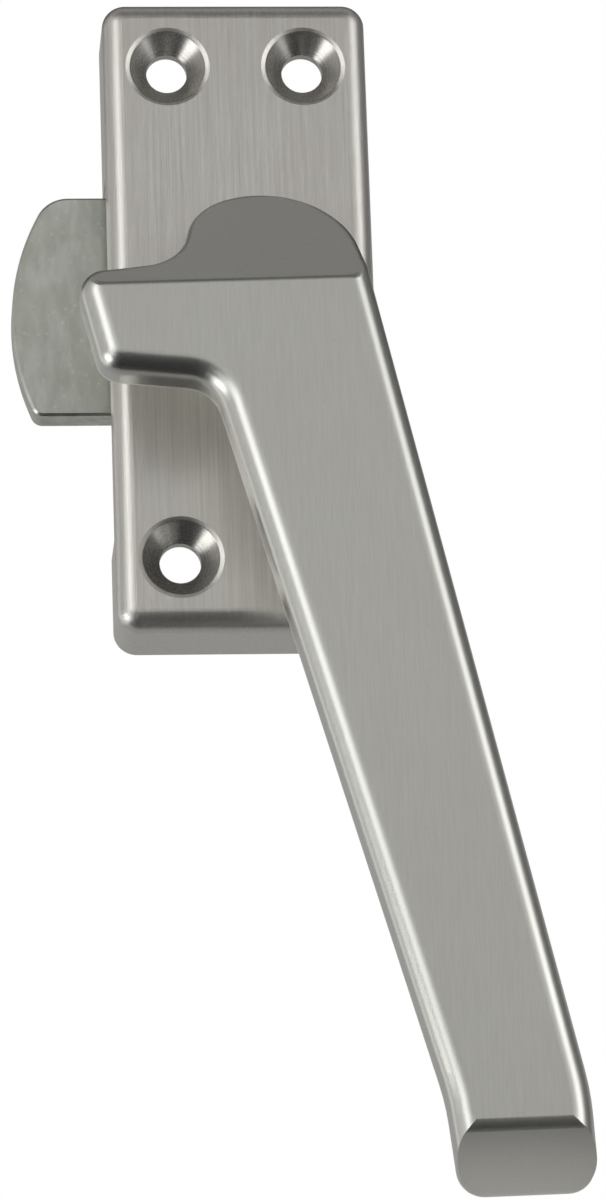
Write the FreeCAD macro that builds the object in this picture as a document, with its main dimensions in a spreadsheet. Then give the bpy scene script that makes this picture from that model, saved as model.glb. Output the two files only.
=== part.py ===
import FreeCAD, Part
import math
import os
import Sketcher

# A surface-mounted window latch: a screwed-on case, a cranked lever handle and a steel
# cam that swings through a slot in the side of the case.
#
# Millimetres. +Z is up along the case. The mounting face lies at Y = 0 and the handle
# stands towards -Y. The origin is the centre of the four screws on the mounting face.
# A height is a distance from the mounting face towards the handle, so Y = -height.

# Every driving size, with what it measures. Angles are in degrees.
SIZES = [
    # Case
    ("case_width", 32.2),
    ("case_height", 81.0),
    ("case_depth", 10.4),
    ("case_wall", 1.5),
    ("case_front_wall", 1.6),
    ("case_corner", 2.8),
    ("case_edge", 2.4),
    ("screw_spacing_x", 16.6),
    ("screw_spacing_z", 63.4),
    ("screw_hole", 5.0),
    ("screw_sink", 9.7),
    ("screw_sink_angle", 90.0),
    ("screw_cup", 9.6),
    ("screw_cup_depth", 3.6),
    ("screw_rim", 0.3),
    ("slot_front", 3.0),
    ("slot_room_above", 1.4),
    ("slot_room_below", 5.6),
    # Turning axis, measured from the middle of the screws
    ("pivot_z", 0.6),
    # Handle: its thickness, then its outline round the turning axis
    ("neck_length", 9.9),
    ("neck_inset", 1.7),
    ("head_drop", 5.0),
    ("lever_thickness", 6.0),
    ("handle_set", 1.5),
    ("head_radius", 11.5),
    ("head_line", 3.3),
    ("head_slope", 34.0),
    ("head_shoulder", 46.3),
    ("head_corner", 8.0),
    ("beak_reach", 22.9),
    ("beak_top", 1.3),
    ("beak_root_inset", 1.2),
    ("beak_rise", 0.1),
    ("beak_foot_reach", 20.2),
    ("beak_foot", 13.8),
    ("beak_foot_fall", 1.6),
    ("crook_x", 7.0),
    ("lever_lean", 10.7),
    ("lever_length", 114.1),
    ("lever_end_left", 14.75),
    ("lever_end_height", 11.0),
    ("lever_end_flare", 0.9),
    ("lever_end_flare_right", 0.2),
    ("end_slope", 34.0),
    ("end_land", 1.2),
    ("tip_corner", 3.2),
    ("end_bend", 30.0),
    ("beak_tip_corner", 2.9),
    ("beak_foot_corner", 3.0),
    ("crook_corner", 4.5),
    ("shoulder_corner", 6.0),
    ("front_edge", 2.6),
    ("facet_edge", 1.2),
    ("back_edge", 0.8),
    ("overrun", 1.0),
    # Spigot of the handle, spindle and its cross pin
    ("spigot_radius", 6.0),
    ("spigot_below_wall", 0.5),
    ("spindle_square", 7.0),
    ("spindle_in_handle", 9.2),
    ("rivet_radius", 5.0),
    ("rivet_height", 0.8),
    ("cross_pin_radius", 1.5),
    ("cross_pin_lift", 2.4),
    # Bush and washers
    ("running_fit", 0.05),
    ("bush_wall", 1.2),
    ("bush_flange_inset", 0.3),
    ("bush_flange", 0.6),
    ("washer_clear", 0.1),
    ("washer_pin_clear", 0.3),
    ("inner_washer", 0.4),
    ("thrust_washer", 0.4),
    ("wave_room", 0.8),
    ("wave_bore_clear", 0.4),
    ("wave_thickness", 0.3),
    ("wave_width", 1.5),
    ("wave_count", 3),
    # Index hub, stop pins and blade spring
    ("hub_wall", 3.2),
    ("hub_corner_rise", 0.5),
    ("lug_width", 4.0),
    ("lug_past_pin", 0.1),
    ("lug_angle", 225.0),
    ("stop_pin_radius", 1.5),
    ("stop_pin_gap", 1.7),
    ("stop_pin_wall_gap", 0.8),
    ("stop_clear", 0.1),
    ("stop_pin_seat", 1.0),
    ("swing", 90.0),
    ("blade_thickness", 0.6),
    ("blade_inset", 0.05),
    ("blade_clear", 0.1),
    ("blade_leg", 4.0),
    ("post_gap", 0.8),
    ("post_width", 2.2),
    ("post_height", 4.6),
    ("post_lift", 0.4),
    # Cam
    ("cam_back", 1.1),
    ("cam_thickness", 4.0),
    ("cam_out", 11.6),
    ("cam_side_clear", 0.45),
    ("cam_hub_radius", 10.0),
    ("cam_shoulder_inset", 1.0),
    ("cam_top_corner", 4.2),
    ("cam_foot_corner", 1.4),
    ("cam_edge", 0.3),
    ("part_clear", 0.1),
]

# The largest share of a corner's radius that the rounded edge round it may have.
EDGE_SHARE = 0.9

doc = FreeCAD.newDocument("window_latch")
sheet = doc.addObject("Spreadsheet::Sheet", "Sizes")
for row, (size_name, size_value) in enumerate(SIZES, start=1):
    sheet.set("A%d" % row, size_name)
    sheet.set("B%d" % row, str(size_value))
    sheet.setAlias("B%d" % row, size_name)
doc.recompute()


class Size:
    """A length or angle that carries both its value and the formula over the sheet."""

    def __init__(self, value, text):
        self.value = value
        self.text = text

    @staticmethod
    def of(other):
        return other if isinstance(other, Size) else Size(float(other), "%r" % float(other))

    def __add__(self, other):
        other = Size.of(other)
        return Size(self.value + other.value, "(%s + %s)" % (self.text, other.text))

    def __sub__(self, other):
        other = Size.of(other)
        return Size(self.value - other.value, "(%s - %s)" % (self.text, other.text))

    def __mul__(self, other):
        other = Size.of(other)
        return Size(self.value * other.value, "(%s * %s)" % (self.text, other.text))

    def __truediv__(self, other):
        other = Size.of(other)
        return Size(self.value / other.value, "(%s / %s)" % (self.text, other.text))

    def __neg__(self):
        return Size(-self.value, "(0 - %s)" % self.text)


def size(name):
    """The size of that name, read from the sheet."""
    return Size(float(getattr(sheet, name)), "Sizes.%s" % name)


def sine(angle):
    return Size(math.sin(math.radians(angle.value)), "sin(%s * 1deg)" % angle.text)


def cosine(angle):
    return Size(math.cos(math.radians(angle.value)), "cos(%s * 1deg)" % angle.text)


def tangent(angle):
    return Size(math.tan(math.radians(angle.value)), "tan(%s * 1deg)" % angle.text)


def arcsine(ratio):
    return Size(math.degrees(math.asin(ratio.value)), "(asin(%s) / 1deg)" % ratio.text)


def root(square):
    return Size(math.sqrt(square.value), "sqrt(%s)" % square.text)


def smaller(first, second):
    return Size(min(first.value, second.value), "min(%s; %s)" % (first.text, second.text))


def larger(first, second):
    return Size(max(first.value, second.value), "max(%s; %s)" % (first.text, second.text))


def bind(thing, prop, length):
    """Ties a property of an object to the sheet."""
    thing.setExpression(prop, Size.of(length).text)


def new_body(name, on_pivot=True, turned=None):
    """An empty body; on_pivot puts its own origin on the turning axis."""
    body = doc.addObject("PartDesign::Body", name)
    body.Label = name
    if turned is not None:
        body.Placement.Rotation = FreeCAD.Rotation(FreeCAD.Vector(0, -1, 0), turned.value)
        bind(body, "Placement.Rotation.Angle", turned)
    if on_pivot:
        bind(body, "Placement.Base.x", pivot_x())
        bind(body, "Placement.Base.z", size("pivot_z"))
    return body


def new_sketch(body, name, height=None, plane="XZ_Plane"):
    """A sketch on one of the body's own planes, raised by a height above it."""
    sketch = body.newObject("Sketcher::SketchObject", name)
    support = [item for item in body.Origin.OriginFeatures if item.Role == plane][0]
    sketch.AttachmentSupport = [(support, "")]
    sketch.MapMode = "FlatFace"
    if height is not None:
        bind(sketch, "AttachmentOffset.Base.z", height)
    return sketch


def turn_back(sketch, axis):
    """Turns a sketch of the handle back by the handle's set, in line with the spindle."""
    turn = size("handle_set")
    sketch.AttachmentOffset = FreeCAD.Placement(
        sketch.AttachmentOffset.Base, FreeCAD.Rotation(FreeCAD.Vector(*axis), turn.value))
    bind(sketch, "AttachmentOffset.Rotation.Angle", turn)


def place_point(sketch, geometry, point, x, z):
    """Holds one point of a sketch at x, z from the sketch's origin."""
    for kind, axis, length in (("DistanceX", -2, x), ("DistanceY", -1, z)):
        length = Size.of(length)
        if length.value == 0.0:
            sketch.addConstraint(Sketcher.Constraint("PointOnObject", geometry, point, axis))
            continue
        index = sketch.addConstraint(
            Sketcher.Constraint(kind, -1, 1, geometry, point, length.value))
        label = "%s_%d_%d" % (kind, geometry, point)
        sketch.renameConstraint(index, label)
        bind(sketch, "Constraints.%s" % label, length)


def add_circle(sketch, x, z, radius):
    x, z = Size.of(x), Size.of(z)
    middle = FreeCAD.Vector(x.value, z.value, 0)
    circle = sketch.addGeometry(Part.Circle(middle, FreeCAD.Vector(0, 0, 1), radius.value), False)
    place_point(sketch, circle, 3, x, z)
    index = sketch.addConstraint(Sketcher.Constraint("Radius", circle, radius.value))
    label = "Radius_%d" % circle
    sketch.renameConstraint(index, label)
    bind(sketch, "Constraints.%s" % label, radius)


def add_polygon(sketch, corners):
    """A closed outline of straight sides through corners (x, z)."""
    corners = [(Size.of(x), Size.of(z)) for x, z in corners]
    points = [FreeCAD.Vector(x.value, z.value, 0) for x, z in corners]
    sides = []
    for start, end in zip(points, points[1:] + points[:1]):
        sides.append(sketch.addGeometry(Part.LineSegment(start, end), False))
    for side, following in zip(sides, sides[1:] + sides[:1]):
        sketch.addConstraint(Sketcher.Constraint("Coincident", side, 2, following, 1))
    for side, (x, z) in zip(sides, corners):
        place_point(sketch, side, 1, x, z)


def add_rounded_outline(sketch, corners, radius):
    """A closed outline whose first side is an arc of that radius, bulging outwards."""
    points = [FreeCAD.Vector(x.value, z.value, 0) for x, z in corners]
    start = math.atan2(points[0].y, points[0].x)
    end = math.atan2(points[1].y, points[1].x)
    whole = Part.Circle(FreeCAD.Vector(0, 0, 0), FreeCAD.Vector(0, 0, 1), radius.value)
    sides = [sketch.addGeometry(Part.ArcOfCircle(whole, start, end), False)]
    for start, end in zip(points[1:], points[2:] + points[:1]):
        sides.append(sketch.addGeometry(Part.LineSegment(start, end), False))
    for side, following in zip(sides, sides[1:] + sides[:1]):
        sketch.addConstraint(Sketcher.Constraint("Coincident", side, 2, following, 1))
    for side, (x, z) in zip(sides, corners):
        place_point(sketch, side, 1, x, z)
    index = sketch.addConstraint(Sketcher.Constraint("Radius", sides[0], radius.value))
    sketch.renameConstraint(index, "ArcRadius")
    bind(sketch, "Constraints.ArcRadius", radius)


def add_rectangle(sketch, left, bottom, right, top):
    add_polygon(sketch, [(left, bottom), (right, bottom), (right, top), (left, top)])


def pad(body, sketch, length, name):
    feature = body.newObject("PartDesign::Pad", name)
    feature.Profile = sketch
    bind(feature, "Length", length)
    doc.recompute()
    return feature


def cut(body, sketch, name, length=None, forward=False):
    """Cuts a sketch out of the body: forward means towards the handle.

    Without a length, the cut runs all the way through, both ways.
    """
    before = body.Shape.Volume
    feature = body.newObject("PartDesign::Pocket", name)
    feature.Profile = sketch
    if length is None:
        feature.Type = "ThroughAll"
        feature.SideType = "Symmetric"
    else:
        feature.Reversed = forward
        bind(feature, "Length", length)
    doc.recompute()
    if not feature.Shape.Volume < before - 1e-6:
        raise RuntimeError("%s cut nothing from %s" % (name, body.Label))
    return feature


def edge_names(shape, wanted):
    """Names of the edges for which wanted(edge) is true."""
    return ["Edge%d" % number for number, edge in enumerate(shape.Edges, start=1) if wanted(edge)]


def dress(body, kind, name, radius, wanted):
    """A fillet or chamfer on the wanted edges of the body as it stands."""
    base = body.Tip
    names = edge_names(base.Shape, wanted)
    if not names:
        raise RuntimeError("%s found no edge on %s" % (name, body.Label))
    feature = body.newObject("PartDesign::%s" % kind, name)
    feature.Base = (base, names)
    bind(feature, "Radius" if kind == "Fillet" else "Size", radius)
    doc.recompute()
    return feature


def is_level(edge, height, within=1e-4):
    """True where the whole edge lies at one height above the mounting face."""
    box = edge.BoundBox
    return abs(box.YMin + height) < within and abs(box.YMax + height) < within


def is_upright(edge, x, z, within=1e-3):
    """True where the edge runs square to the mounting face, through x, z."""
    box = edge.BoundBox
    flat = box.XLength < within and box.ZLength < within
    return flat and abs(box.XMin - x) < within and abs(box.ZMin - z) < within


def corner_round(corner, edge):
    """A corner's radius: its own, but a little over that of the edge that runs round it."""
    return larger(size(corner), size(edge) / EDGE_SHARE)


def seat_land():
    """Flat metal between a screw seat and the side of the case."""
    return (size("case_width") - size("screw_spacing_x") - size("screw_sink")) / 2


def seat_rim():
    """The chamfer round a seat takes at most a quarter of the flat metal beside it."""
    return smaller(size("screw_rim"), seat_land() / 4)


def case_front_round():
    """The rounded front edge leaves half a rim's width of flat metal beside the seats."""
    return smaller(size("case_edge"), seat_land() - seat_rim() - seat_rim() / 2)


def make_case():
    """The case: a shell open at the back, with four screw cups and a slot for the cam."""
    body = new_body("case", on_pivot=False)
    half_width = size("case_width") / 2
    half_height = size("case_height") / 2
    depth = size("case_depth")
    outline = new_sketch(body, "case_outline")
    add_rectangle(outline, -half_width, -half_height, half_width, half_height)
    pad(body, outline, depth, "case_block")

    def corner(edge):
        return any(is_upright(edge, side_x * half_width.value, side_z * half_height.value)
                   for side_x in (-1, 1) for side_z in (-1, 1))

    dress(body, "Fillet", "case_corners", corner_round("case_corner", "case_edge"), corner)
    dress(body, "Fillet", "case_front_edge", case_front_round(),
          lambda edge: is_level(edge, depth.value))

    hollow_depth = front_inside()
    inner_x = inner_half_width()
    inner_z = half_height - size("case_wall")
    hollow = new_sketch(body, "case_hollow_outline")
    add_rectangle(hollow, -inner_x, -inner_z, inner_x, inner_z)
    cut(body, hollow, "case_hollow", hollow_depth, forward=True)

    def inner_corner(edge):
        return any(is_upright(edge, side_x * inner_x.value, side_z * inner_z.value)
                   for side_x in (-1, 1) for side_z in (-1, 1))

    dress(body, "Fillet", "case_inner_corners",
          corner_round("case_corner", "case_edge") - size("case_wall"), inner_corner)

    cups = new_sketch(body, "screw_cup_outlines", depth - size("screw_cup_depth"))
    for side_x in (-0.5, 0.5):
        for side_z in (-0.5, 0.5):
            add_circle(cups, size("screw_spacing_x") * side_x, size("screw_spacing_z") * side_z,
                       size("screw_cup") / 2)
    pad(body, cups, size("screw_cup_depth") - size("case_front_wall") / 2, "screw_cups")

    post_end = size("cam_back") + size("cam_thickness") + size("post_lift")
    posts = new_sketch(body, "spring_post_outlines", post_end)
    seat = size("pivot_z") + blade_back()
    for side in (-1, 1):
        near = pivot_x() + (hub_corner_radius() + size("post_gap")) * side
        far = near + size("post_width") * side
        add_rectangle(posts, near, seat, far, seat + size("post_height"))
    pad(body, posts, depth - size("case_front_wall") / 2 - post_end, "spring_posts")

    slot = new_sketch(body, "cam_slot_outline")
    add_rectangle(slot, -half_width - size("case_corner"), slot_bottom(),
                  -inner_x + size("part_clear"), slot_top())
    cut(body, slot, "cam_slot", depth - size("slot_front"), forward=True)

    neck = new_sketch(body, "neck_hole_outline")
    add_circle(neck, pivot_x(), size("pivot_z"), bush_radius())
    cut(body, neck, "neck_hole")

    seats = new_sketch(body, "stop_pin_seat_outlines", hollow_depth)
    for angle in stop_angles():
        add_circle(seats, pivot_x() + stop_circle() * cosine(angle),
                   size("pivot_z") + stop_circle() * sine(angle), size("stop_pin_radius"))
    cut(body, seats, "stop_pin_seats", size("stop_pin_seat"), forward=True)

    screws = new_sketch(body, "screw_hole_centres", depth)
    for side_x in (-0.5, 0.5):
        for side_z in (-0.5, 0.5):
            add_circle(screws, size("screw_spacing_x") * side_x, size("screw_spacing_z") * side_z,
                       size("screw_hole") / 2)
    doc.recompute()
    before = body.Shape.Volume
    holes = body.newObject("PartDesign::Hole", "screw_holes")
    holes.Profile = screws
    holes.DepthType = "ThroughAll"
    bind(holes, "Diameter", size("screw_hole"))
    holes.HoleCutType = "Countersink"
    holes.HoleCutCustomValues = True
    bind(holes, "HoleCutDiameter", size("screw_sink"))
    bind(holes, "HoleCutCountersinkAngle", size("screw_sink_angle"))
    doc.recompute()
    if not holes.Shape.Volume < before - 1e-6:
        raise RuntimeError("the screw holes cut nothing")

    sink = size("screw_sink").value / 2
    dress(body, "Chamfer", "screw_rims", seat_rim(),
          lambda edge: is_level(edge, depth.value) and is_round(edge, sink))
    return body


def slanted_faces(shape, normal, within=1e-4):
    """The flat faces whose outward normal is the given one."""
    return [face for face in shape.Faces if isinstance(face.Surface, Part.Plane)
            and face.normalAt(0, 0).getAngle(normal) < within]


def on_face(edge, face):
    return any(edge.isSame(side) for side in face.Edges)


def is_round(edge, radius, within=1e-3):
    """True where the edge is part of a circle of that radius."""
    return isinstance(edge.Curve, Part.Circle) and abs(edge.Curve.Radius - radius) < within


def bush_radius():
    return size("spigot_radius") + size("running_fit") + size("bush_wall")


def front_inside():
    """Height of the front wall's inner face."""
    return size("case_depth") - size("case_front_wall")


def neck_back():
    """The neck starts just clear of the bush's flange on the front of the case."""
    return size("case_depth") + size("bush_flange") + size("washer_clear")


def lever_back():
    return neck_back() + size("neck_length")


def handle_front():
    return lever_back() + size("lever_thickness")


def spigot_end():
    """The spigot reaches just inside the case's front wall."""
    return front_inside() - size("spigot_below_wall")


def cross_pin_height():
    return neck_back() + size("cross_pin_lift")


def hub_low():
    return size("cam_back") + size("cam_thickness") + size("washer_clear")


def hub_thickness():
    """The hub fills what the cam, the washers and the wave spring leave of the case."""
    stack = size("inner_washer") + size("wave_room") + size("thrust_washer")
    return front_inside() - stack - hub_low()


def hub_half_flat():
    return size("spindle_square") / 2 + size("hub_wall")


def hub_corner_radius():
    return hub_half_flat() + size("hub_corner_rise")


def blade_back():
    """Height of the blade spring's far side above the turning axis."""
    return hub_corner_radius() + size("blade_clear") + size("blade_thickness")


def stop_circle():
    return hub_corner_radius() + size("stop_pin_gap") + size("stop_pin_radius")


def pivot_x():
    """The axis stands off the right wall by what the hub and a stop pin need."""
    need = stop_circle() + size("stop_pin_radius") + size("stop_pin_wall_gap")
    return size("case_width") / 2 - size("case_wall") - need


def washer_radius():
    return stop_circle() - size("stop_pin_radius") - size("washer_pin_clear")


def inner_half_width():
    return size("case_width") / 2 - size("case_wall")


def cam_above():
    """Swung in, the cam fills the case from wall to wall, so its sides follow them."""
    return inner_half_width() + pivot_x() - size("cam_side_clear")


def cam_below():
    return inner_half_width() - pivot_x() - size("cam_side_clear")


def cam_radius():
    return size("case_width") / 2 + pivot_x() + size("cam_out")


def slot_top():
    return size("pivot_z") + cam_above() + size("slot_room_above")


def slot_bottom():
    """The cam's rim crosses the outside of the case at this height; the slot clears it."""
    reach = size("case_width") / 2 + pivot_x()
    crossing = root(cam_radius() * cam_radius() - reach * reach)
    return size("pivot_z") - crossing - size("slot_room_below")


def stop_angles():
    """Directions of the two stop pins, one at each end of the lug's swing."""
    reach = size("lug_width") / 2 + size("stop_pin_radius") + size("stop_clear")
    beside = arcsine(reach / stop_circle())
    first = size("lug_angle") - beside
    last = size("lug_angle") + size("swing") + beside
    return first, last


def handle_outline():
    """Corners of the lever and beak round the turning axis, anticlockwise from the right.

    The right side of the lever is a tangent of the round head; the left side runs from
    the crook under the beak to the foot of the lever.
    """
    lean = size("lever_lean")
    radius = size("head_radius")
    touch = (radius * cosine(lean), radius * sine(lean))
    shoulder = size("head_shoulder")
    head_left = (-(radius * sine(shoulder)), radius * cosine(shoulder))
    beak_root = (-(radius - size("beak_root_inset")), size("beak_rise"))
    beak_tip = (-size("beak_reach"), -size("beak_top"))
    beak_foot = (-size("beak_foot_reach"), -size("beak_foot"))
    foot_level = -size("lever_length")
    end_level = foot_level + size("lever_end_height")
    end_left = size("lever_end_left")
    crook_z = -size("beak_foot") - size("beak_foot_fall")
    crook = (-size("crook_x"), crook_z)
    foot_left = (end_left + size("lever_end_flare"), foot_level)
    right_at_end = radius / cosine(lean) + tangent(lean) * -end_level
    foot_right = (right_at_end + size("lever_end_flare_right"), foot_level)
    return [touch, head_left, beak_root, beak_tip, beak_foot, crook, (end_left, end_level),
            foot_left, foot_right, (right_at_end, end_level)]


def foot_run():
    """How far up the front face the foot facet reaches."""
    return (size("lever_thickness") - size("end_land")) / tangent(size("end_slope"))


def bend_round(side_slope, end_slope):
    """Radius of the bend where a side turns towards the foot.

    The bend ends above the rounded top of the foot facet. Slopes are sideways per down,
    and half their difference is the tangent of half the bend's angle.
    """
    facet_top = foot_run() + size("front_edge") * tangent(size("end_slope") / 2)
    room = size("lever_end_height") - facet_top
    return smaller(size("end_bend"), room / ((side_slope - end_slope) / 2))


def left_bend():
    drop = (size("lever_length") - size("lever_end_height") - size("beak_foot")
            - size("beak_foot_fall"))
    return bend_round((size("lever_end_left") + size("crook_x")) / drop,
                      size("lever_end_flare") / size("lever_end_height"))


def right_bend():
    return bend_round(tangent(size("lever_lean")),
                      size("lever_end_flare_right") / size("lever_end_height"))


def make_handle():
    """The handle: a round head on the case, a beak to the left and a long tapered lever.

    A sloping facet runs from the front face back to the round head, and another one
    closes the foot of the lever.
    """
    body = new_body("handle", turned=size("handle_set"))
    front = handle_front()
    back = lever_back()
    overrun = size("overrun")
    head_low = back - size("head_drop")
    outline = new_sketch(body, "lever_outline", head_low)
    corners = handle_outline()
    add_rounded_outline(outline, corners, size("head_radius"))
    pad(body, outline, front - head_low, "lever_and_beak")

    def at_corner(number):
        x, z = corners[number]
        return lambda edge: is_upright(edge, x.value, z.value)

    for number, name, radius in (
            (1, "head_corner", size("head_corner")),
            (2, "shoulder_corner", size("shoulder_corner")),
            (3, "beak_tip_corner", corner_round("beak_tip_corner", "front_edge")),
            (4, "beak_foot_corner", corner_round("beak_foot_corner", "front_edge")),
            (5, "crook_corner", size("crook_corner")),
            (6, "end_bend", left_bend()),
            (7, "tip_corner", size("tip_corner")),
            (8, "tip_corner", size("tip_corner")),
            (9, "end_bend", right_bend())):
        dress(body, "Fillet", "%s_%d" % (name, number), radius, at_corner(number))

    # The foot facet starts a little above the foot and slopes to the back.
    foot = -size("lever_length")
    thickness = size("lever_thickness") - size("end_land")
    run = foot_run()
    past = overrun * run / thickness
    end = new_sketch(body, "foot_facet_profile", plane="YZ_Plane")
    add_polygon(end, [(-front - overrun, foot + run + past),
                      (-front + thickness + overrun, foot - past),
                      (-front - overrun, foot - past)])
    cut(body, end, "foot_facet")

    # Only the head keeps the full drop: behind the lever and the beak it is cut away.
    head_side = corners[2][0]
    head_foot = -corners[0][1]
    beyond = size("lever_length") + size("head_radius")
    behind = new_sketch(body, "behind_lever_outline", head_low)
    add_rectangle(behind, -beyond, -beyond, beyond, beyond)
    add_rectangle(behind, head_side, head_foot, beyond / 2, beyond / 2)
    cut(body, behind, "behind_lever", size("head_drop"), forward=True)

    def lever_rim(edge):
        box = edge.BoundBox
        beside = box.XLength < 1e-3 and abs(box.XMin - head_side.value) < 1e-3
        under = box.ZLength < 1e-3 and abs(box.ZMin - head_foot.value) < 1e-3
        return is_level(edge, back.value) and not beside and not under

    dress(body, "Fillet", "front_edges", size("front_edge"),
          lambda edge: is_level(edge, front.value))
    dress(body, "Chamfer", "back_edges", size("back_edge"), lever_rim)

    neck = new_sketch(body, "neck_outline", neck_back())
    add_circle(neck, 0, 0, size("head_radius") - size("neck_inset"))
    pad(body, neck, size("neck_length") + size("back_edge"), "neck")

    # The head facet takes off everything above a slope that starts at the front face.
    slope = tangent(size("head_slope"))
    beyond = size("head_radius") * 2
    line = -size("head_line")
    facet = new_sketch(body, "head_facet_profile", plane="YZ_Plane")
    add_polygon(facet, [(-front - overrun, line - overrun / slope),
                        (-front - overrun, line + beyond),
                        (-front + beyond * slope, line + beyond)])
    cut(body, facet, "head_facet")
    sloping = FreeCAD.Vector(0, -cosine(size("head_slope")).value, sine(size("head_slope")).value)

    def facet_rim(edge):
        return any(on_face(edge, face) for face in slanted_faces(body.Tip.Shape, sloping))

    dress(body, "Fillet", "facet_edges", size("facet_edge"), facet_rim)

    spigot = new_sketch(body, "spigot_outline", spigot_end())
    add_circle(spigot, 0, 0, size("spigot_radius"))
    pad(body, spigot, neck_back() - spigot_end() + overrun, "spigot")

    socket = new_sketch(body, "spindle_socket_outline")
    half = size("spindle_square") / 2
    add_rectangle(socket, -half, -half, half, half)
    turn_back(socket, (0, 0, -1))
    cut(body, socket, "spindle_socket", neck_back() + size("spindle_in_handle"), forward=True)

    cross = new_sketch(body, "cross_hole_outline", plane="YZ_Plane")
    turn_back(cross, (1, 0, 0))
    add_circle(cross, -cross_pin_height(), 0, size("cross_pin_radius"))
    cut(body, cross, "cross_hole")
    return body


def make_spindle():
    """The square spindle: pressed into the handle, riveted over behind the cam."""
    body = new_body("spindle")
    half = size("spindle_square") / 2
    start = size("cam_back")
    bar = new_sketch(body, "spindle_outline", start)
    add_rectangle(bar, -half, -half, half, half)
    pad(body, bar, neck_back() + size("spindle_in_handle") - start, "spindle_bar")
    head = new_sketch(body, "rivet_outline", start - size("rivet_height"))
    add_circle(head, 0, 0, size("rivet_radius"))
    pad(body, head, size("rivet_height"), "riveted_end")
    cross = new_sketch(body, "spindle_cross_hole_outline", plane="YZ_Plane")
    add_circle(cross, -cross_pin_height(), 0, size("cross_pin_radius"))
    cut(body, cross, "spindle_cross_hole")
    rim = size("rivet_radius").value
    low = start.value - size("rivet_height").value
    dress(body, "Chamfer", "rivet_edge", size("rivet_height") / 3,
          lambda edge: is_level(edge, low) and is_round(edge, rim))
    return body


def make_cross_pin():
    """The pin through the neck that keeps the handle on the spindle."""
    pin = doc.addObject("Part::Cylinder", "cross_pin")
    pin.Label = "cross_pin"
    neck = size("head_radius") - size("neck_inset")
    reach = root(neck * neck
                 - size("cross_pin_radius") * size("cross_pin_radius")) - size("part_clear")
    bind(pin, "Radius", size("cross_pin_radius"))
    bind(pin, "Height", reach * 2)
    pin.Placement.Rotation = FreeCAD.Rotation(FreeCAD.Vector(0, 1, 0), 90)
    bind(pin, "Placement.Base.x", pivot_x() - reach)
    bind(pin, "Placement.Base.y", -cross_pin_height())
    bind(pin, "Placement.Base.z", size("pivot_z"))
    return pin


def make_ring(name, low, thickness, outer, inner, square=None):
    """A flat ring round the turning axis, with a round or a square hole."""
    body = new_body(name)
    sketch = new_sketch(body, name + "_outline", low)
    add_circle(sketch, 0, 0, outer)
    if square is None:
        add_circle(sketch, 0, 0, inner)
    else:
        half = square / 2
        add_rectangle(sketch, -half, -half, half, half)
    pad(body, sketch, thickness, name + "_disc")
    return body


def make_neck_bush():
    """The nylon bush in the front of the case, with a flange under the handle's neck."""
    body = new_body("neck_bush")
    sleeve = new_sketch(body, "bush_sleeve_outline", front_inside())
    add_circle(sleeve, 0, 0, bush_radius())
    pad(body, sleeve, size("case_front_wall"), "bush_sleeve")
    flange = new_sketch(body, "bush_flange_outline", size("case_depth"))
    add_circle(flange, 0, 0, size("head_radius") - size("neck_inset") - size("bush_flange_inset"))
    pad(body, flange, size("bush_flange"), "bush_flange")
    bore = new_sketch(body, "bush_bore_outline")
    add_circle(bore, 0, 0, size("spigot_radius") + size("running_fit"))
    cut(body, bore, "bush_bore")
    return body


def make_wave_spring(low, high):
    """The wave spring: a ring whose height above the axis plane follows a sine."""
    thickness = size("wave_thickness").value
    middle = (low.value + high.value) / 2
    swing = (high.value - low.value - thickness) / 2 - size("washer_clear").value
    inner = size("spigot_radius").value + size("wave_bore_clear").value
    outer = inner + size("wave_width").value
    waves = int(size("wave_count").value)
    steps = 8 * waves

    def wavy_edge(radius, rise):
        points = []
        for step in range(steps):
            angle = 2 * math.pi * step / steps
            height = middle + rise + swing * math.sin(waves * angle)
            points.append(FreeCAD.Vector(radius * math.cos(angle), -height, radius * math.sin(angle)))
        return Part.makePolygon(points + points[:1])

    half = thickness / 2
    section = [wavy_edge(inner, -half), wavy_edge(outer, -half),
               wavy_edge(outer, half), wavy_edge(inner, half)]
    faces = []
    for first, second in zip(section, section[1:] + section[:1]):
        faces += Part.makeRuledSurface(first, second).Faces
    shell = Part.makeShell(faces)
    shell.sewShape()
    solid = Part.makeSolid(shell)
    if solid.Volume < 0:
        solid.reverse()
    spring = doc.addObject("Part::Feature", "wave_spring")
    spring.Label = "wave_spring"
    spring.Shape = solid
    spring.Placement = FreeCAD.Placement(
        FreeCAD.Vector(pivot_x().value, 0, size("pivot_z").value), FreeCAD.Rotation())
    return spring


def make_index_hub(low):
    """The index hub: a square with rounded corners, and a lug that meets the stop pins."""
    body = new_body("index_hub")
    thick = hub_thickness()
    flat = hub_half_flat()
    disc = new_sketch(body, "hub_round", low)
    add_circle(disc, 0, 0, hub_corner_radius())
    pad(body, disc, thick, "hub_disc")
    beyond = hub_corner_radius() * 2
    frame = new_sketch(body, "hub_flats", low)
    add_rectangle(frame, -beyond, -beyond, beyond, beyond)
    add_rectangle(frame, -flat, -flat, flat, flat)
    cut(body, frame, "hub_flat_sides", thick, forward=True)
    lug = new_sketch(body, "lug_outline", low)
    angle = size("lug_angle")
    half = size("lug_width") / 2
    along = (cosine(angle), sine(angle))

    def corner(out, across):
        return (along[0] * out - along[1] * across, along[1] * out + along[0] * across)

    root_out = flat - size("lug_width")
    reach = stop_circle() + size("stop_pin_radius") + size("lug_past_pin")
    add_polygon(lug, [corner(root_out, -half), corner(reach, -half),
                      corner(reach, half), corner(root_out, half)])
    pad(body, lug, thick, "stop_lug")
    bore = new_sketch(body, "hub_bore")
    side = size("spindle_square") / 2
    add_rectangle(bore, -side, -side, side, side)
    cut(body, bore, "hub_square_hole")
    return body


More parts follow.
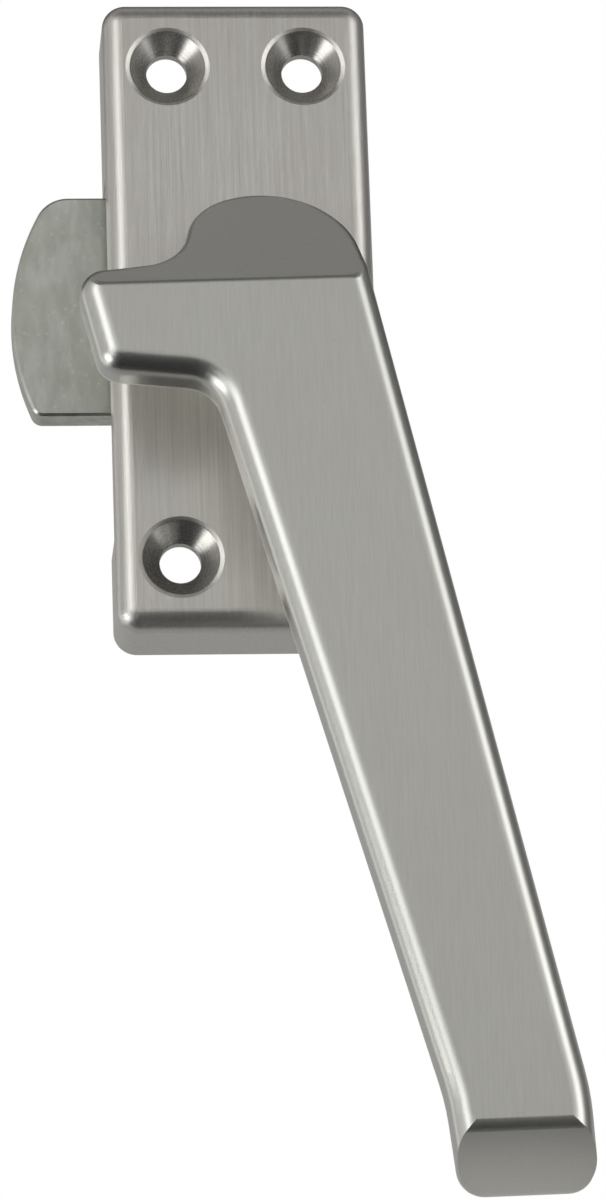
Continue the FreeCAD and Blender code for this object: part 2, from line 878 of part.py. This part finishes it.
def make_stop_pins(low):
    """Two steel pins pressed into the front wall, one at each end of the swing."""
    body = new_body("stop_pins")
    sketch = new_sketch(body, "stop_pin_outlines", low)
    for angle in stop_angles():
        add_circle(sketch, stop_circle() * cosine(angle), stop_circle() * sine(angle),
                   size("stop_pin_radius"))
    seat_end = front_inside() + size("stop_pin_seat")
    pad(body, sketch, seat_end - low, "stop_pin_bars")
    return body


def make_blade_spring(low):
    """The blade spring: a strip over the hub, its ends bent up outside two posts."""
    body = new_body("blade_spring")
    near = hub_corner_radius() + size("blade_clear")
    far = near + size("blade_thickness")
    inside = hub_corner_radius() + size("post_gap") + size("post_width") + size("part_clear")
    outside = inside + size("blade_thickness")
    top = far + size("blade_leg")
    sketch = new_sketch(body, "blade_outline", low)
    add_polygon(sketch, [(-outside, near), (outside, near), (outside, top), (inside, top),
                         (inside, far), (-inside, far), (-inside, top), (-outside, top)])
    pad(body, sketch, hub_thickness() - size("blade_inset") * 2, "blade_strip")
    return body


def make_cam():
    """The cam: a flat steel plate with a round rim, narrowing to its hub inside the case."""
    body = new_body("cam")
    above = cam_above()
    below = cam_below()
    radius = cam_radius()
    hub = size("cam_hub_radius")
    shoulder = -(inner_half_width() + pivot_x() - size("cam_shoulder_inset"))
    block = new_sketch(body, "cam_outline", size("cam_back"))
    add_polygon(block, [(0, hub), (shoulder, above), (-radius, above), (-radius, -below),
                        (shoulder, -below), (0, -hub)])
    pad(body, block, size("cam_thickness"), "cam_blank")
    rim = new_sketch(body, "cam_rim", size("cam_back"))
    add_circle(rim, 0, 0, radius)
    add_rectangle(rim, radius * -2, radius * -2, radius * 2, radius * 2)
    cut(body, rim, "cam_rim_cut", size("cam_thickness"), forward=True)
    eye = new_sketch(body, "cam_hub_outline", size("cam_back"))
    add_circle(eye, 0, 0, hub)
    pad(body, eye, size("cam_thickness"), "cam_hub")
    hole = new_sketch(body, "cam_square_outline")
    side = size("spindle_square") / 2
    add_rectangle(hole, -side, -side, side, side)
    cut(body, hole, "cam_square_hole")
    top_x = -math.sqrt(radius.value ** 2 - above.value ** 2)
    foot_x = -math.sqrt(radius.value ** 2 - below.value ** 2)
    dress(body, "Fillet", "cam_top_corner", size("cam_top_corner"),
          lambda edge: is_upright(edge, top_x, above.value))
    dress(body, "Fillet", "cam_foot_corner", size("cam_foot_corner"),
          lambda edge: is_upright(edge, foot_x, -below.value))
    faces = (size("cam_back").value, size("cam_back").value + size("cam_thickness").value)

    def outer_edge(edge):
        level = any(is_level(edge, face) for face in faces)
        return level and edge.BoundBox.DiagonalLength > size("spindle_square").value * 1.01

    dress(body, "Chamfer", "cam_edges", size("cam_edge"), outer_edge)
    return body


def check_and_write():
    """Stops at a failed object, then writes each sub-part to its own file."""
    doc.recompute()
    for item in doc.Objects:
        if "Invalid" in item.State or "Error" in item.State:
            raise RuntimeError("%s failed to build" % item.Name)
    for node in NODES:
        if node.Shape.isNull() or not node.Shape.isValid() or not node.Shape.Solids:
            raise RuntimeError("%s has no valid solid" % node.Label)
    os.makedirs("parts", exist_ok=True)
    for node in NODES:
        node.Shape.exportStep("parts/%s.step" % node.Label)
        print("%-16s %7.1f mm3, %d solid" % (node.Label, node.Shape.Volume, len(node.Shape.Solids)))


thrust_low = hub_low() + hub_thickness()
inner_washer_low = front_inside() - size("inner_washer")

NODES = [
    make_case(),
    make_handle(),
    make_spindle(),
    make_cross_pin(),
    make_neck_bush(),
    make_ring("inner_washer", inner_washer_low, size("inner_washer"), washer_radius(),
              size("spigot_radius") + size("washer_clear")),
    make_wave_spring(thrust_low + size("thrust_washer"), inner_washer_low),
    make_ring("thrust_washer", thrust_low, size("thrust_washer"), washer_radius(), None,
              square=size("spindle_square")),
    make_index_hub(hub_low()),
    make_stop_pins(hub_low() + size("part_clear")),
    make_blade_spring(hub_low() + size("blade_inset")),
    make_cam(),
]
check_and_write()
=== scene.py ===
# %% [markdown]
# # A window latch in satin metal
#
# The real object is a small latch for a casement window. A flat case is screwed to the
# sash, a cranked lever turns on its front, and a steel cam swings out of its left side.
# Every solid piece comes from the CAD model, so this lesson is about how such metal is
# finished, lit and photographed.

# %% Load the packed model
import math

import bpy
import numpy as np
from mathutils import Matrix, Vector

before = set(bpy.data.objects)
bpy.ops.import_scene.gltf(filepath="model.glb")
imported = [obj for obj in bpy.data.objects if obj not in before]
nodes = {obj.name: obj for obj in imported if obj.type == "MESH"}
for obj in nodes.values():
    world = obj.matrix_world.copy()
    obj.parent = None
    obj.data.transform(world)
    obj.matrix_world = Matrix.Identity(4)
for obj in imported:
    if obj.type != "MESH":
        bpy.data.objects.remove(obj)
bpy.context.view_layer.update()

print("loaded", len(nodes), "pieces of the latch")

# %% [markdown]
# ## Colours as they are read from a screen
#
# A picture's grey of 160 isn't half as bright as white: the numbers of a screen follow
# a curve. Blender's sockets want the light itself. That could be worked out for each
# colour beforehand, but then nobody could read it, so one helper undoes the curve, and
# every colour below is written as it is read.

# %% Screen tones to light
def tone(red, green, blue):
    """The light of a screen colour from 0 to 255: each number over 255, plus 0.055,
    over 1.055, to the power 2.4."""
    screen = np.array([red, green, blue]) / 255
    return tuple(((screen + 0.055) / 1.055) ** 2.4) + (1.0,)


print("a satin grey of 161 reflects %.2f of the light" % tone(161, 161, 157)[0])

# %% [markdown]
# ## The camera
#
# The photograph is taken from a little below and left of the latch, with a long lens.
# It could be placed by eye, but small errors of angle show on straight edges. So its
# place was worked out from the case's corners and screw holes, and a turn, a tilt and a
# small roll are enough, with no shift.

# %% Camera at the photograph's angle
AZIMUTH, ELEVATION, ROLL = (math.radians(angle) for angle in (-4.728, -18.771, -1.999))
DISTANCE = 0.7679
AIM = Vector((0.005788, -0.0130, -0.038114))
LENS, SENSOR = 194.634, 36  # millimetres
NEAREST, FURTHEST = 0.01, 50  # metres that the camera sees
toward_camera = Vector((math.sin(AZIMUTH) * math.cos(ELEVATION),
                        -math.cos(AZIMUTH) * math.cos(ELEVATION),
                        math.sin(ELEVATION)))

scene = bpy.context.scene
camera = bpy.data.objects.new("camera", bpy.data.cameras.new("camera"))
scene.collection.objects.link(camera)
scene.camera = camera
camera.data.sensor_width = SENSOR
camera.data.lens = LENS
camera.data.clip_start, camera.data.clip_end = NEAREST, FURTHEST
facing = (-toward_camera).to_track_quat("-Z", "Y").to_matrix().to_4x4()
camera.matrix_world = (Matrix.Translation(AIM + toward_camera * DISTANCE)
                       @ facing @ Matrix.Rotation(ROLL, 4, "Z"))
scene.view_settings.view_transform = "Standard"
print("camera stands at", [round(number, 3) for number in camera.location])

# %% [markdown]
# ## Shader maths as Python
#
# A finish is a small sum: a base colour, plus some grain, times some wear. Wired by
# hand that is a page of nodes. Here one class stands for a socket and turns each
# operator into its Math node. The forms that start with r are for a number on the left,
# as in 1 - mask.

# %% Sockets with operators
class Wire:
    """One output of a node. Python's operators on it add Math nodes."""

    def __init__(self, finish, socket):
        self.finish = finish
        self.socket = socket

    def math(self, operation, first, second):
        return self.finish.add("ShaderNodeMath", {"operation": operation},
                               {0: first, 1: second})

    def __add__(self, other):
        return self.math("ADD", self, other)

    def __radd__(self, other):
        return self.math("ADD", other, self)

    def __sub__(self, other):
        return self.math("SUBTRACT", self, other)

    def __rsub__(self, other):
        return self.math("SUBTRACT", other, self)

    def __mul__(self, other):
        return self.math("MULTIPLY", self, other)

    def __rmul__(self, other):
        return self.math("MULTIPLY", other, self)

    def __pow__(self, other):
        return self.math("POWER", self, other)


print("wires can be added, subtracted, multiplied and raised to a power")

# %% [markdown]
# ## A finish under construction
#
# Every other node comes from one method, add, which takes the node's type, its settings
# and its inputs. The short methods after it name the few steps that each finish of this
# latch is made of: a place on the piece, noise there, a stretch of its contrast, a mix of
# two colours, and a relief.

# %% Finishes
class Finish:
    """A material under construction, with its node tree."""

    def __init__(self, name):
        self.material = bpy.data.materials.new(name)
        self.material.use_nodes = True
        self.tree = self.material.node_tree
        self.shader = self.tree.nodes["Principled BSDF"]

    def add(self, kind, settings=None, inputs=None, output=0):
        """Adds a node: its settings first, then a value or a wire for each input."""
        node = self.tree.nodes.new(kind)
        for name, value in (settings or {}).items():
            setattr(node, name, value)
        for name, value in (inputs or {}).items():
            self.feed(node.inputs[name], value)
        return Wire(self, node.outputs[output])

    def feed(self, socket, value):
        """Links a wire to an input, or sets the input to a value."""
        if isinstance(value, Wire):
            self.tree.links.new(value.socket, socket)
        else:
            socket.default_value = value

    def place(self, scale=(1, 1, 1), turn=(0, 0, 0)):
        """Object coordinates in metres, turned and then stretched. For a noise of scale
        1, the three scales are its waves to the metre along x, y and z."""
        source = self.add("ShaderNodeTexCoord", output="Object")
        return self.add("ShaderNodeMapping", None,
                        {"Vector": source, "Scale": scale, "Rotation": turn})

    def coordinate(self, axis):
        """One object coordinate, X, Y or Z, in metres."""
        return self.add("ShaderNodeSeparateXYZ", None, {"Vector": self.place()}, axis)

    def noise(self, where, scale, detail=2.0, roughness=0.5):
        """Noise round 0.5, with that many waves to each unit of the place."""
        return self.add("ShaderNodeTexNoise", None, {
            "Vector": where, "Scale": scale, "Detail": detail, "Roughness": roughness})

    def spread(self, value, low, high):
        """Stretches the part of a value between low and high to 0 to 1."""
        return self.add("ShaderNodeMapRange", {"clamp": True}, {
            "Value": value, "From Min": low, "From Max": high})

    def mix(self, amount, first, second):
        """Two colours mixed by an amount from 0 to 1. A Mix node has sockets for every
        kind of value: inputs 6 and 7 and output 2 are those for colours."""
        return self.add("ShaderNodeMix", {"data_type": "RGBA"},
                        {0: amount, 6: first, 7: second}, 2)

    def bump(self, height, depth):
        """Height from 0 to 1 as a relief of that depth in metres."""
        return self.add("ShaderNodeBump", None, {
            "Strength": 1.0, "Distance": depth, "Height": height})

    def surface(self, **inputs):
        """Feeds the shader's inputs, a _ standing for a space, and gives the material."""
        for name, value in inputs.items():
            self.feed(self.shader.inputs[name.replace("_", " ")], value)
        return self.material


print("a finish can be built of", ", ".join(
    step for step in vars(Finish) if not step.startswith("_")))

# %% [markdown]
# ## Satin aluminium of the case
#
# The case is a casting that was linished before it was anodised. The belt ran along
# its length, so very fine scratches run up and down and the highlights smear sideways.
# A picture of brushed metal would need seams and would repeat. Noise does neither: three
# noises that are squeezed across the case and stretched along it give the strokes and
# scratches, and a coarse one, the same each way, gives the cloudy patches of the
# anodising. The seats of the screw heads were cut with a turning tool, so they are
# smoother and ringed, and their colour is painted darker than the case, a painted shade
# in these recesses. The four holes mirror each other, so one distance, from the sizes of
# x and z alone, finds them all.

# %% Case finish
MICRON = 0.000001
SCREW_X, SCREW_Z = 0.0083, 0.0317
SEAT_RADIUS, SEAT_FADE = 0.00485, 0.00015
TOOL_MARKS = 5000.0  # waves to the metre, out from the middle of a hole


def screw_seats(finish):
    """A mask of the screw seats, and the rings in them. The distance from the nearest
    hole is the root of (|x| - SCREW_X) squared plus (|z| - SCREW_Z) squared."""
    x = finish.coordinate("X")
    z = finish.coordinate("Z")
    across = (x * x) ** 0.5 - SCREW_X
    up = (z * z) ** 0.5 - SCREW_Z
    distance = (across * across + up * up) ** 0.5
    rings = finish.add("ShaderNodeTexNoise", {"noise_dimensions": "1D"},
                       {"W": distance, "Scale": TOOL_MARKS, "Detail": 2.0})
    return 1 - finish.spread(distance, SEAT_RADIUS - SEAT_FADE, SEAT_RADIUS), rings


def satin_case():
    finish = Finish("satin_case")
    dark, light, patch = tone(201, 198, 193), tone(220, 218, 213), tone(200, 195, 188)
    # Both seat colours are darker than the case: a painted shade in the countersinks, with
    # the tool rings between the two.
    shaded_groove, shaded_ridge = tone(178, 175, 170), tone(190, 188, 183)
    seats, rings = screw_seats(finish)
    grain = finish.noise(finish.place((6500, 6500, 90)), 1.0, detail=3.0, roughness=0.65)
    scratches = finish.noise(finish.place((17000, 17000, 250)), 1.0)
    coarse = finish.noise(finish.place((2200, 2200, 45)), 1.0)
    cloud = finish.noise(finish.place(), 55.0, detail=3.0)
    strokes = finish.spread(grain * 0.6 + coarse * 0.4, 0.36, 0.64)
    colour = finish.mix(strokes, dark, light)
    colour = finish.mix(finish.spread(cloud, 0.42, 0.68) * 0.35, colour, patch)
    shaded_cut = finish.mix(finish.spread(rings, 0.35, 0.65), shaded_groove, shaded_ridge)
    relief = finish.spread(scratches, 0.3, 0.7) * (1 - seats) + rings * seats * 0.5
    return finish.surface(
        # The seats take the darker colours, a painted shade in these recesses.
        Base_Color=finish.mix(seats, colour, shaded_cut),
        Metallic=0.93,
        Roughness=0.27 + strokes * 0.05 + cloud * 0.05 - seats * 0.06,
        Normal=finish.bump(relief, 6 * MICRON),
    )


case_finish = satin_case()
print("made", case_finish.name)

# %% [markdown]
# ## The handle
#
# The handle was tumbled and then lightly brushed, so it is smoother than the case. Its
# grain is finer and shorter, and tiny pits of the casting show as darker points. The back
# of the lever, which no hand polishes, is only blasted, so it is more like a matt surface,
# and its colour is also painted lighter, a painted light: the case mirrors it, so it
# decides how light the case is beside the lever. Two materials could share the handle, but
# their border would be sharp, so a mask made of y and z fades one look into the other.

# %% Handle finish
LEVER_LEAN = math.radians(14)
BACK_EDGE, BACK_FACE = -0.0224, -0.0213  # y where the blasting starts and where it is full
BLAST_FULL, BLAST_END = -0.0050, -0.0036  # z below the head where it is full and ends


def satin_handle():
    finish = Finish("satin_handle")
    dull, bright, patch = tone(211, 211, 206), tone(218, 218, 213), tone(207, 205, 199)
    # The back's matt colour is painted lighter than the metal: a painted light, which the
    # case beside the lever mirrors.
    pit, matt_and_painted_light = tone(180, 178, 172), tone(232, 231, 226)
    y = finish.coordinate("Y")
    z = finish.coordinate("Z")
    behind = finish.spread(y, BACK_EDGE, BACK_FACE)
    # This mask marks the blasted back, which is rougher and less metallic, and whose
    # lighter colour is a painted light.
    blasted_and_painted_light = behind * (1 - finish.spread(z, BLAST_FULL, BLAST_END))
    along = finish.place((5200, 5200, 260), turn=(0, LEVER_LEAN, 0))
    grain = finish.noise(along, 1.0, detail=3.0, roughness=0.6)
    cloud = finish.noise(finish.place(), 70.0, detail=4.0)
    specks = finish.noise(finish.place(), 2600.0, detail=1.0)
    strokes = finish.spread(grain, 0.36, 0.66)
    pits = finish.spread(specks, 0.68, 0.8)
    colour = finish.mix(strokes, dull, bright)
    colour = finish.mix(finish.spread(cloud, 0.4, 0.7) * 0.3, colour, patch)
    colour = finish.mix(pits * 0.25, colour, pit)
    return finish.surface(
        Base_Color=finish.mix(blasted_and_painted_light, colour, matt_and_painted_light),
        Metallic=1 - blasted_and_painted_light * 0.6,
        Roughness=0.28 + strokes * 0.03 + cloud * 0.05 + blasted_and_painted_light * 0.22,
        Normal=finish.bump(strokes - pits, 0.4 * MICRON),
    )


handle_finish = satin_handle()
print("made", handle_finish.name)

# %% [markdown]
# ## Zinc plate on the cam
#
# The cam is stamped from steel and plated with zinc. Plating grows as small crystals
# that catch the light one by one, and its yellowish passivation is uneven. Noise alone
# is too soft for crystals. The cells of a Voronoi pattern have edges, and each has its
# own tone, so a few of them are painted almost white, a painted glint, and made smoother.

# %% Cam finish
CRYSTALS = 2600.0  # cells to the metre


def zinc_plate():
    finish = Finish("zinc_plate")
    dark, light = tone(192, 195, 187), tone(213, 216, 208)
    # The near-white colour is a painted glint on single crystals.
    yellowish, painted_glint = tone(201, 201, 188), tone(234, 236, 230)
    here = finish.place()
    cells = finish.add("ShaderNodeTexVoronoi", None, {"Vector": here, "Scale": CRYSTALS},
                       "Color")
    fleck = finish.add("ShaderNodeSeparateColor", None, {"Color": cells})
    cloud = finish.noise(here, 180.0, detail=4.0)
    flow = finish.noise(finish.place((1, 1, 0.35)), 700.0, detail=3.0)
    colour = finish.mix(finish.spread(flow, 0.35, 0.68), dark, light)
    colour = finish.mix(finish.spread(cloud, 0.45, 0.7) * 0.5, colour, yellowish)
    # A few cells take the near-white colour, a painted glint.
    colour = finish.mix(finish.spread(fleck, 0.94, 0.99) * 0.3, colour, painted_glint)
    return finish.surface(
        Base_Color=colour,
        Metallic=1.0,
        Roughness=0.33 + cloud * 0.2 - finish.spread(fleck, 0.86, 0.98) * 0.12,
        Normal=finish.bump(fleck * 0.4 + flow, 6 * MICRON),
    )


cam_finish = zinc_plate()
print("made", cam_finish.name)

# %% [markdown]
# ## Turned steel inside
#
# The pieces inside are seen only from the back. The spindle, its pin, the thrust washer
# and the stop pins are turned, and the tool leaves fine rings that follow each other
# along y, the way the spindle runs. A Wave texture could draw them, but too evenly for a
# tool, so noise squeezed along y gives them.

# %% Turned steel
def turned_steel():
    finish = Finish("turned_steel")
    dark, light = tone(176, 175, 172), tone(210, 210, 206)
    rings = finish.noise(finish.place((900, 9000, 900)), 1.0)
    cloud = finish.noise(finish.place(), 240.0, detail=3.0)
    strokes = finish.spread(rings, 0.38, 0.64)
    return finish.surface(
        Base_Color=finish.mix(strokes * 0.7 + cloud * 0.3, dark, light),
        Metallic=1.0,
        Roughness=0.22 + strokes * 0.12,
        Normal=finish.bump(strokes, 3 * MICRON),
    )


steel_finish = turned_steel()
print("made", steel_finish.name)

# %% [markdown]
# ## Sintered steel of the hub
#
# The index hub is pressed from steel powder and soaked in oil. It is grainy and dark,
# with open pores. They are too small to be modelled one by one, so the highest parts of
# a fine noise become the pores, and a coarse one gives the stains of the oil.

# %% Sintered steel
def sintered_steel():
    finish = Finish("sintered_steel")
    oily, dry, hollow = tone(132, 132, 132), tone(158, 157, 153), tone(84, 83, 81)
    here = finish.place()
    grains = finish.noise(here, 3800.0)
    oil = finish.noise(here, 260.0, detail=3.0)
    pores = finish.spread(grains, 0.6, 0.75)
    colour = finish.mix(finish.spread(oil, 0.4, 0.7), oily, dry)
    return finish.surface(
        Base_Color=finish.mix(pores * 0.7, colour, hollow),
        Metallic=1.0,
        Roughness=0.42 + pores * 0.25,
        Normal=finish.bump(1 - pores, 10 * MICRON),
    )


hub_finish = sintered_steel()
print("made", hub_finish.name)

# %% [markdown]
# ## Spring steel
#
# The two springs are stamped from rolled strip, so their grain runs along x, and the
# hardening leaves a blue tint in some places and a straw one in others. One tint for all
# would look painted, so a coarse noise chooses between the two.

# %% Spring steel
def spring_steel():
    finish = Finish("spring_steel")
    blue, straw, bare = tone(146, 151, 165), tone(174, 170, 161), tone(200, 202, 205)
    here = finish.place()
    rolled = finish.spread(finish.noise(finish.place((150, 3500, 3500)), 1.0), 0.4, 0.62)
    heat = finish.spread(finish.noise(here, 150.0, detail=3.0), 0.4, 0.65)
    colour = finish.mix(heat, blue, straw)
    return finish.surface(
        Base_Color=finish.mix(rolled * 0.35, colour, bare),
        Metallic=1.0,
        Roughness=0.25 + rolled * 0.12,
        Normal=finish.bump(rolled, 2 * MICRON),
    )


spring_finish = spring_steel()
print("made", spring_finish.name)

# %% [markdown]
# ## Nylon of the bush and washer
#
# Natural nylon is a soft ivory that lets some light in, a millimetre or so. A plain
# colour would look like chalk, so subsurface light gives that depth, red going deepest,
# and a fine noise gives the moulded skin.

# %% Nylon
def nylon():
    finish = Finish("nylon")
    shade, ivory = tone(222, 216, 201), tone(231, 226, 214)
    here = finish.place()
    cloud = finish.spread(finish.noise(here, 300.0, detail=3.0), 0.35, 0.7)
    skin = finish.noise(here, 5000.0)
    return finish.surface(
        Base_Color=finish.mix(cloud, shade, ivory),
        Roughness=0.42 + cloud * 0.14,
        Subsurface_Weight=0.15,
        Subsurface_Radius=(0.0012, 0.001, 0.0007),
        Subsurface_Scale=1.0,
        Normal=finish.bump(skin, 8 * MICRON),
    )


nylon_finish = nylon()
print("made", nylon_finish.name)

# %% [markdown]
# ## Dressing the pieces
#
# Each piece of the CAD model takes the finish of what it is made of. That could be
# clicked together piece by piece, but one table shows at a glance what is made of what.

# %% Finishes on pieces
DRESS = {
    case_finish: ("case",),
    handle_finish: ("handle",),
    cam_finish: ("cam",),
    steel_finish: ("spindle", "cross_pin", "thrust_washer", "stop_pins"),
    hub_finish: ("index_hub",),
    spring_finish: ("wave_spring", "blade_spring"),
    nylon_finish: ("neck_bush", "inner_washer"),
}
for finish, names in DRESS.items():
    for name in names:
        mesh = nodes[name].data
        mesh.materials.clear()
        mesh.materials.append(finish)
    print(finish.name, "on", ", ".join(names))

# %% [markdown]
# ## A studio for metal
#
# Metal shows what stands round it more than what lights it. The usual way is a picture
# of a real studio round the scene, but here the tone of each direction has to be set by
# itself, so the studio is built. The room is plain white, which gives a satin face the
# grey of its own colour. A pale floor lies so far down that a camera below the latch
# still stands above it.

# %% Room and floor
FLOOR_LEVEL, FLOOR_HALF, FLOOR_GREY = -2.4, 5.5, (0.9, 0.9, 0.9, 1)


def white_room():
    """A plain white world, for the camera, for reflections and as light."""
    world = bpy.data.worlds.new("white_room")
    scene.world = world
    world.use_nodes = True
    background = world.node_tree.nodes["Background"]
    background.inputs["Color"].default_value = (1, 1, 1, 1)
    background.inputs["Strength"].default_value = 1.0


def sheet_of(name, middle, across, along, finish):
    """A flat sheet: its corners are the middle plus or minus two half sides."""
    middle, across, along = (Vector(v) for v in (middle, across, along))
    corners = [middle - across - along, middle + across - along,
               middle + across + along, middle - across + along]
    mesh = bpy.data.meshes.new(name)
    mesh.from_pydata([tuple(corner) for corner in corners], [], [(0, 1, 2, 3)])
    sheet = bpy.data.objects.new(name, mesh)
    scene.collection.objects.link(sheet)
    mesh.materials.append(finish)
    return sheet


white_room()
sheet_of("floor", (0, 0, FLOOR_LEVEL), (FLOOR_HALF, 0, 0), (0, FLOOR_HALF, 0),
         Finish("floor").surface(Base_Color=FLOOR_GREY, Roughness=0.9))
print("the room stands, with its floor", -FLOOR_LEVEL, "m down")

# %% [markdown]
# ## Grey cards
#
# Grey cards stand where the photograph shows tones darker than white, and each is placed
# by its direction from the latch. The front card gives the flat faces their grey, the
# dark ones round the camera and below it the rounds that look down, and the one above
# the front the sloping facet of the head. A small card close under the foot lights the
# facet there alone. The cards are hidden from the camera, and only reflections see them.

# %% Cards, by direction
CARD_REACH = 0.8
CARD_TINT = (1, 0.99, 0.97, 1)
FOOT = Vector((0.030, -0.024, -0.110))  # the lower end of the lever


def direction(turn, rise):
    """The way from the latch to a card: turn in degrees from the front to the right,
    rise in degrees above the level. Over 90 it leans over to the back."""
    turn, rise = math.radians(turn), math.radians(rise)
    return Vector((math.sin(turn) * math.cos(rise), -math.cos(turn) * math.cos(rise),
                   math.sin(rise)))


def grey_card(name, turn, rise, wide, high, brightness, reach=CARD_REACH, target=AIM):
    """A card that faces the latch and shows in it with one brightness. It stands at that
    reach from its target, and wide and high are the degrees that it takes up."""
    away = direction(turn, rise)
    across = direction(turn + 90, 0)
    finish = Finish(name)
    card = sheet_of(name, target + away * reach,
                    across * reach * math.tan(math.radians(wide / 2)),
                    away.cross(across) * reach * math.tan(math.radians(high / 2)),
                    finish.surface(Base_Color=(0, 0, 0, 1), Roughness=1.0,
                                   Emission_Color=CARD_TINT,
                                   Emission_Strength=brightness, Specular_IOR_Level=0.0))
    card.visible_camera = False
    card.visible_shadow = False
    card.visible_diffuse = False


CARDS = [
    # name, turn, rise, wide, high, brightness; the last two add their reach, and the
    # very last its target
    ("front", 10, 20, 50, 33, 0.53),
    ("round_camera", -5, -27, 84, 58, 0.015),
    ("below", -5, -80, 96, 48, 0.012),
    ("under_back", 0, -128, 100, 48, 0.34),
    ("front_above", 0, 55, 100, 38, 0.07),
    ("overhead", 0, 88, 100, 31, 0.28),
    ("back_above", 0, 126, 100, 44, 0.07),
    ("left_side", -80, 14, 62, 80, 0.48),
    ("right_side", 95, 14, 52, 80, 0.14),
    ("behind", 180, 0, 110, 76, 0.40),
    ("front_right", 33, 14, 10, 70, 0.8, 0.78),
    ("foot_fill", 0, -66, 63, 39, 0.48, 0.03, FOOT),
]
for card in CARDS:
    grey_card(*card)
print(len(CARDS), "grey cards stand round the latch")

# %% [markdown]
# ## Soft boxes
#
# Two tall soft boxes, at the front left and the front right, draw the bright lines down
# the rounded edges and into the countersinks. A smaller, brighter one low at the left
# lights the rounds that look down and to the left. Each is a rectangular lamp, whose
# power is worked out from its size and from how bright it has to look. A glowing sheet
# would look the same, but a lamp of this size leaves less noise in the picture.

# %% Soft boxes, by direction
LAMP_REACH = 0.75


def soft_box(name, turn, rise, wide, high, brightness):
    """A rectangular lamp that shows in the latch with that brightness. Its power is the
    brightness times its area times pi, and wide and high are the degrees it takes up."""
    lamp = bpy.data.lights.new(name, "AREA")
    lamp.shape = "RECTANGLE"
    lamp.size = 2 * LAMP_REACH * math.tan(math.radians(wide / 2))
    lamp.size_y = 2 * LAMP_REACH * math.tan(math.radians(high / 2))
    lamp.energy = brightness * lamp.size * lamp.size_y * math.pi
    box = bpy.data.objects.new(name, lamp)
    scene.collection.objects.link(box)
    box.location = AIM + direction(turn, rise) * LAMP_REACH
    box.rotation_euler = (AIM - box.location).to_track_quat("-Z", "Y").to_euler()


SOFT_BOXES = [
    # name, turn, rise, wide, high, brightness
    ("left_box", -39, 14, 26, 70, 0.95),
    ("low_left_box", -74, -22, 30, 26, 2.2),
    ("right_box", 50, 14, 24, 70, 1.0),
]
for box in SOFT_BOXES:
    soft_box(*box)
print(len(SOFT_BOXES), "soft boxes light the latch")
